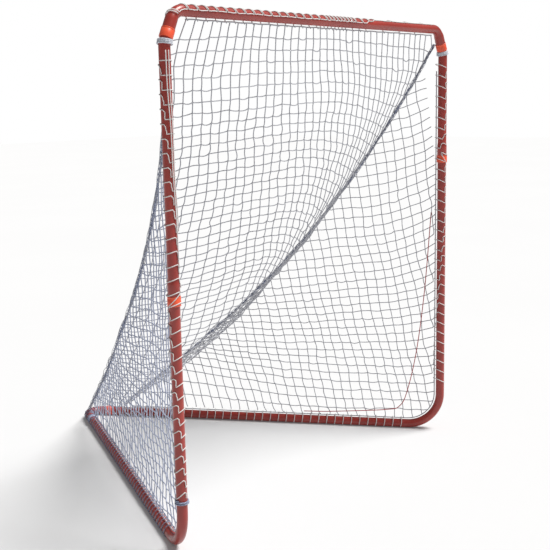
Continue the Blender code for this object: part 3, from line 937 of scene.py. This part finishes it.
def make_side_net(side):
    net = Net()
    word = SIDE_WORD[side]
    grid = {}

    def inside(place, margin):
        s, h = place
        if s < EDGE_OFFSET + margin or s > SIDE_END or h > SIDE_TOP:
            return False
        return border_height(s) + margin < h < float(seam_height(side, s)) - margin

    def world(place):
        s, h = place
        low = border_height(s)
        part = (h - low) / (float(seam_height(side, s)) - low)
        return on_leg_plane(side, s, h, -float(seam_lean(s)) * part)

    for i in range(SIDE_LINES):
        for j in range(1, SIDE_LINES):
            place = side_knot((i, j))
            if inside(place, 0.011):
                grid[i, j] = net.knot(world(place))
    for way in (0, 1):
        step = np.array((way == 0, way == 1), dtype=int)
        for line in range(SIDE_LINES):
            cells = sorted(cell for cell in grid if cell[1 - way] == line)
            if not cells:
                continue
            numbers = [grid[cell] for cell in cells]
            first = world(border_crossing(inside, cells[0], cells[0] - step))
            last = world(border_crossing(inside, cells[-1], cells[-1] + step))
            net.strand([net.knot(first, True)] + numbers + [net.knot(last, True)])
    net.hang(0.0045, 0.0013, 0.03, 40, 0.0002)
    # The left side net takes the darker, bluer twine, which is painted shade.
    material = TWINE if side > 0 else SHADED_TWINE
    radius = STRAND_R if side > 0 else STRAND_R + 0.0002
    strands = cords(word + "_side_net_strands", net.paths(), radius, 6, material)
    own(strands, [word + "_side_net"])
    own(knot_blobs(word + "_side_net_knots", net.free_knots(), KNOT_R, material), ())


def make_seam(side):
    """Two-ply rope along the seam, with the nets' border twines gathered round it."""
    s = np.linspace(SEAM_START, SEAM_END[side], 460)
    line = seam_world(side, s)
    _, across, top = path_frames(line)
    along = distances(line)
    word = SIDE_WORD[side]
    plies = []
    for phase in (0, math.pi):
        angle = along * 2 * math.pi / 0.045 + phase
        plies.append(line + across * (0.0024 * np.cos(angle))[:, None]
                     + top * (0.0024 * np.sin(angle))[:, None])
    own(cords(word + "_seam_rope_plies", plies, 0.0027, 9, ROPE),
        [word + "_seam_rope"])

    gather = np.exp(-((s - 1.15) / 0.28) ** 2)
    borders = []
    for number in range(5):
        angle = number * 1.26 + 0.9 * np.sin(along * (17 + 2.3 * number) + number)
        wave = 0.5 + 0.5 * np.sin(along * (41 + 7 * number) + 2 * number)
        away = 0.0060 + (0.0012 + 0.0050 * gather) * wave
        borders.append(line + across * (away * np.cos(angle))[:, None]
                       + top * (away * np.sin(angle))[:, None])
    own(cords(word + "_border_twines", borders, 0.0012, 6, TWINE), ())


def make_edges():
    for side, word in SIDE_WORD.items():
        bend_r = FOOT_R - EDGE_OFFSET
        path = [on_leg_plane(side, EDGE_OFFSET, h) for h in np.linspace(1.615, FOOT_R, 60)]
        for angle in np.linspace(0, math.pi / 2, 14)[1:]:
            path.append(on_leg_plane(side, FOOT_R - bend_r * math.cos(angle),
                                     FOOT_R - bend_r * math.sin(angle)))
        path += [on_leg_plane(side, s, EDGE_OFFSET) for s in np.linspace(FOOT_R, 1.5, 60)[1:]]
        cord = cords(word + "_edge_cord", [np.array(path)], 0.0024, 8, TWINE)
        own(cord, [word + "_net_edge_cord"])
    x = np.linspace(-0.745, 0.745, 90)
    z = BAR_HEIGHT - EDGE_OFFSET + 0.0008 * np.sin(x * 69)
    top = np.stack([x, np.full_like(x, MOUTH_Y), z], axis=1)
    own(cords("top_edge_cord", [top], 0.0024, 8, TWINE), ["top_net_edge_cord"])


# Lacing ---------------------------------------------------------------------------

def ring_offset(toward, across, angle, near, reach):
    radius = near + (max(reach, near) - near) * max(0.0, math.cos(angle)) ** 3
    return (toward * math.cos(angle) + across * math.sin(angle)) * radius


def hitches(axis, first, last, pitch, run_angle, tilt, near, reach):
    """Cord hitched round a tube and the net's border: a turn round both, then a run along.

    The axis gives a point of the tube and its two cross directions. The tilt is how far a
    turn leans and the angle of the tube's side from which the lean is seen in full.
    """
    points = []
    along = first
    sense = 1 if last > first else -1

    def add(place, angle, raised):
        lean, front = tilt(place)
        place += lean * math.sin(angle - front)
        point, toward, across = axis(place)
        base = near(place) + raised
        points.append(point + ring_offset(toward, across, angle, base, max(reach(place), base)))

    while (last - along) * sense > 0:
        step = pitch(along)
        run = run_angle(along)
        after = run_angle(along + sense * step)
        for k in range(24):
            raised = 0.0014 if k in (0, 23) else 0.0
            add(along + sense * step * 0.3 * k / 24, run + 2 * math.pi * k / 24, raised)
        for t in (0.25, 0.5, 0.75):
            wobble = 0.07 * math.sin(211 * along + 5 * t)
            add(along + sense * step * (0.3 + 0.7 * t), run + (after - run) * t + wobble, 0.0004)
        along += sense * step
    return np.array([tuple(p) for p in points])


def post_radius(side):
    def near(z):
        gap = z - JOINT_Z[side]
        if abs(gap) < 0.0185:
            return COLLAR_R + LACE_LIFT
        if 0 < gap < 0.058:
            return BELL_R + LACE_LIFT
        return TUBE_R + LACE_LIFT
    return near


def above_ground(verts):
    """Presses the undersides of the turns flat where the tube stands on them."""
    verts[:, 2] = np.maximum(verts[:, 2], 0.0002)
    return verts


def apex_path(side):
    """A leg's centreline and cross directions. The left one goes on round the apex bend."""
    turn = leg_heading(-1).angle(-leg_heading(1))
    start = LEG_LENGTH - APEX_R * math.tan(turn / 2)

    def at(s):
        if side > 0 or s <= start:
            return leg_point(side, s), UP, outward(side)
        angle = min(turn, (s - start) / APEX_R)
        across = Quaternion(UP, -angle) @ outward(-1)
        onward = max(0.0, s - start - APEX_R * turn)
        point = leg_point(-1, start) + (across - outward(-1)) * APEX_R - leg_direction(1) * onward
        return point, UP, across
    return at


def top_path(first):
    """The crossbar's centreline from the left elbow on, by distance from its middle."""
    stations = top_stations()
    points = [np.array(station[0]) for station in stations]
    headings = [np.array(station[1]) for station in stations]
    steps = [np.linalg.norm(b - a) for a, b in zip(points, points[1:])]
    along = np.concatenate([[0], np.cumsum(steps)])
    along -= along[-1] / 2

    def at(x):
        x = max(x, first)
        point = Vector([np.interp(x, along, [p[k] for p in points]) for k in range(3)])
        heading = Vector([np.interp(x, along, [h[k] for h in headings]) for k in range(3)])
        return point, REAR.cross(heading).normalized(), -REAR
    return at


def post_run(side, heights, angles):
    """Loose end of the lacing, led down a post over the turns."""
    points = []
    for z in np.linspace(heights[0], heights[-1], 60):
        angle = math.radians(np.interp(-z, [-h for h in heights], angles))
        angle += 0.05 * math.sin(23 * z)
        wide = TUBE_R + 0.0052
        offset = ring_offset(leg_direction(side), outward(side), angle, wide, 0.0)
        points.append(tuple(post_point(side, z) + offset))
    return np.array(points)


def make_post_lacing(side):
    word = SIDE_WORD[side]
    if side < 0:
        front = math.radians(158.8)

        def run_angle(z):
            if z > JOINT_Z[side]:
                return math.radians(124 + 170 * (1.62 - z))
            return math.radians(114 + 150 * (0.87 - z))

        def tilt(z):
            return np.interp(z, [0.25, 0.6, 1.6], [0.020, 0.014, 0.003]), front
    else:
        front = math.radians(258.8)

        def run_angle(z):
            if z > JOINT_Z[side]:
                return math.radians(np.interp(z, [1.28, 1.40, 1.62], [296, 228, 225]))
            return math.radians(np.interp(z, [0.24, 1.02, 1.22], [378, 222, 225]))

        def tilt(z):
            return 0.013, front
    path = hitches(lambda z: (post_point(side, z), leg_direction(side), outward(side)),
                   1.655, 0.235, lambda z: CELL, run_angle, tilt, post_radius(side),
                   lambda z: EDGE_REACH)
    paths = [path]
    if side < 0:
        paths.append(post_run(side, [1.685, 1.25, 1.00], [170, 201, 226]))
        paths.append(post_run(side, [1.685, 1.25, 1.12], [193, 215, 236]))
    own(cords(word + "_post_lacing", paths, LACE_R, 7, LACE), [word + "_post_lacing_cord"])


def make_leg_lacing(side):
    word = SIDE_WORD[side]
    if side > 0:
        last = 1.560

        def pitch(s):
            return 0.014 if s > 1.24 else 0.039
    else:
        last = 1.742

        def pitch(s):
            return 0.016 if s > 1.60 else 0.030

    def near(s):
        return (BELL_R if side > 0 and s > 1.535 else TUBE_R) + LACE_LIFT

    def tilt(s):
        return 0.007, math.radians(60)

    path = hitches(apex_path(side), 0.175, last, pitch, lambda s: math.pi * 0.62, tilt, near,
                   lambda s: EDGE_REACH if s < 1.5 else 0.0)
    material = LACE if side > 0 else ROPE
    own(cords(word + "_leg_lacing", [path], LACE_R, 7, material, above_ground),
        [word + "_leg_lacing_cord"])


def make_top_lacing():
    """A run along the bar's front, with loops over it, down behind and round the border."""
    axis = top_path(-0.815)
    points = []
    x = -0.800
    while x < 0.735:
        step = CELL if x < 0.25 else 0.12
        if -0.05 < x < 0.15:
            step = CELL / 2
        run = math.pi * np.interp(x, [0.2, 0.3], [0.54, 0.80])
        for k in range(29):
            swing = 1 - abs(1 - k / 14)
            angle = run + (1.93 * math.pi - run) * swing
            point, toward, across = axis(x - 0.022 * swing + 0.007 * k / 28)
            reach = EDGE_REACH if x > -0.72 else 0.0
            near = TUBE_R + LACE_LIFT + 0.0018 * (x < -0.77)
            points.append(point + ring_offset(toward, across, angle, near, max(reach, near)))
        for t in (0.4, 0.7):
            point, toward, across = axis(x + step * t)
            angle = run + 0.06 * math.sin(173 * x + 4 * t)
            points.append(point + ring_offset(toward, across, angle, TUBE_R + 0.0023, 0.0))
        x += step
    path = np.array([tuple(p) for p in points])
    own(cords("top_lacing", [path], LACE_R, 7, LACE), ["top_lacing_cord"])


def coil(place, turns, spread, radius):
    points = []
    count = int(turns * 24) + 1
    for k in range(count):
        angle = k * math.pi / 12
        wide = radius + 0.0006 * math.sin(2.3 * angle)
        local = Vector((wide * math.cos(angle), wide * math.sin(angle),
                        spread * (k / (count - 1) - 0.5)))
        points.append(tuple(place @ local))
    return np.array(points)


def make_ties():
    for side, word in SIDE_WORD.items():
        low, lean = corner_straight_start(side)
        up = (UP + lean).normalized()
        place = placement(low - up * 0.009, up, REAR)
        turns = coil(place, 2.6, 0.013, 0.0228)
        own(cords(word + "_corner_tie_coil", [turns], 0.0033, 8, PALE_ROPE),
            [word + "_corner_tie"])
    place = placement(post_point(-1, 0.205), UP, REAR)
    own(cords("left_foot_tie_coil", [coil(place, 2.3, 0.014, 0.0222)], 0.0028, 8, ROPE),
        ["left_foot_tie"])
    arch = []
    for k in range(61):
        swing = abs((k % 20) - 10) / 5 - 1
        s = 1.545 + 0.028 * k / 60
        offset = ring_offset(UP, outward(-1), swing * math.radians(118), 0.0218, 0.0218)
        arch.append(tuple(leg_point(-1, s) + offset))
    own(cords("apex_tie_turns", [np.array(arch)], 0.0025, 8, ROPE, above_ground),
        ["apex_tie"])


def make_red_cord():
    """Loose red cord inside the right side net."""
    off = 0.002 + 0.0022 + 0.0010
    route = [
        (0.045, 0.995),
        (0.073, 0.633),
        (0.108, 0.352),
        (0.150, 0.159),
        (0.185, 0.085),
        (0.250, 0.064),
        (0.506, 0.044),
        (0.639, 0.040),
    ]
    knots = []
    for s, above in route:
        low = border_height(s)
        part = (above - low) / (float(seam_height(1, s)) - low)
        knots.append(on_leg_plane(1, s, above, -off - float(seam_lean(s)) * part))
    own(cords("red_tie", [smooth_path(knots, 10)], 0.0020, 8, RED_CORD),
        ["red_tie_cord"])


# Studio ---------------------------------------------------------------------------

def sun_light(name, toward, strength, spread, color):
    """Large soft lamp far away in one direction."""
    data = bpy.data.lights.new(name, "SUN")
    data.angle = spread
    data.energy = strength
    data.color = color
    light = linked(name, data)
    light.rotation_euler = Vector(toward).to_track_quat("Z", "Y").to_euler()


def make_studio():
    mesh = bpy.data.meshes.new("floor")
    work = bmesh.new()
    bmesh.ops.create_grid(work, x_segments=1, y_segments=1, size=30)
    bmesh.ops.translate(work, verts=work.verts, vec=(0, 0, -0.0002))
    work.to_mesh(mesh)
    work.free()
    mesh.materials.append(floor_paint())
    floor = linked("floor", mesh)

    world = bpy.data.worlds.new("studio")
    world.use_nodes = True
    tree = world.node_tree
    background = tree.nodes["Background"]
    background.inputs["Color"].default_value = (1.0, 1.0, 1.0, 1)
    seen = tree.nodes.new("ShaderNodeLightPath")
    level = tree.nodes.new("ShaderNodeMapRange")
    level.inputs["To Min"].default_value = 0.25
    level.inputs["To Max"].default_value = 1.0
    tree.links.new(seen.outputs["Is Camera Ray"], level.inputs["Value"])
    tree.links.new(level.outputs["Result"], background.inputs["Strength"])
    bpy.context.scene.world = world
    bpy.context.scene.view_settings.view_transform = "Standard"
    sun_light("key", (0.32, -0.38, 0.87), 4.7, 0.45, (1.0, 0.985, 0.96))


def make_camera():
    """Camera placed by its heading, dip and roll."""
    heading = 0.873346
    dip = 0.174817
    roll = -0.020798
    forward = Vector((math.sin(heading) * math.cos(dip), math.cos(heading) * math.cos(dip),
                      -math.sin(dip)))
    right = Vector((math.cos(heading), -math.sin(heading), 0))
    up = right.cross(forward)
    rolled_right = right * math.cos(roll) + up * math.sin(roll)
    rolled_up = -right * math.sin(roll) + up * math.cos(roll)
    turn = Matrix((rolled_right, rolled_up, -forward)).transposed().to_4x4()
    data = bpy.data.cameras.new("camera")
    data.sensor_width = 36
    data.lens = 65.380
    data.clip_start = 0.05
    data.clip_end = 200
    camera = linked("camera", data)
    camera.matrix_world = Matrix.Translation((-3.0622, -3.0211, 1.5303)) @ turn
    bpy.context.scene.camera = camera


make_camera()
make_frame()
make_back_net()
for which in (-1, 1):
    make_side_net(which)
    make_seam(which)
    make_post_lacing(which)
    make_leg_lacing(which)
make_edges()
make_top_lacing()
make_ties()
make_red_cord()
make_studio()
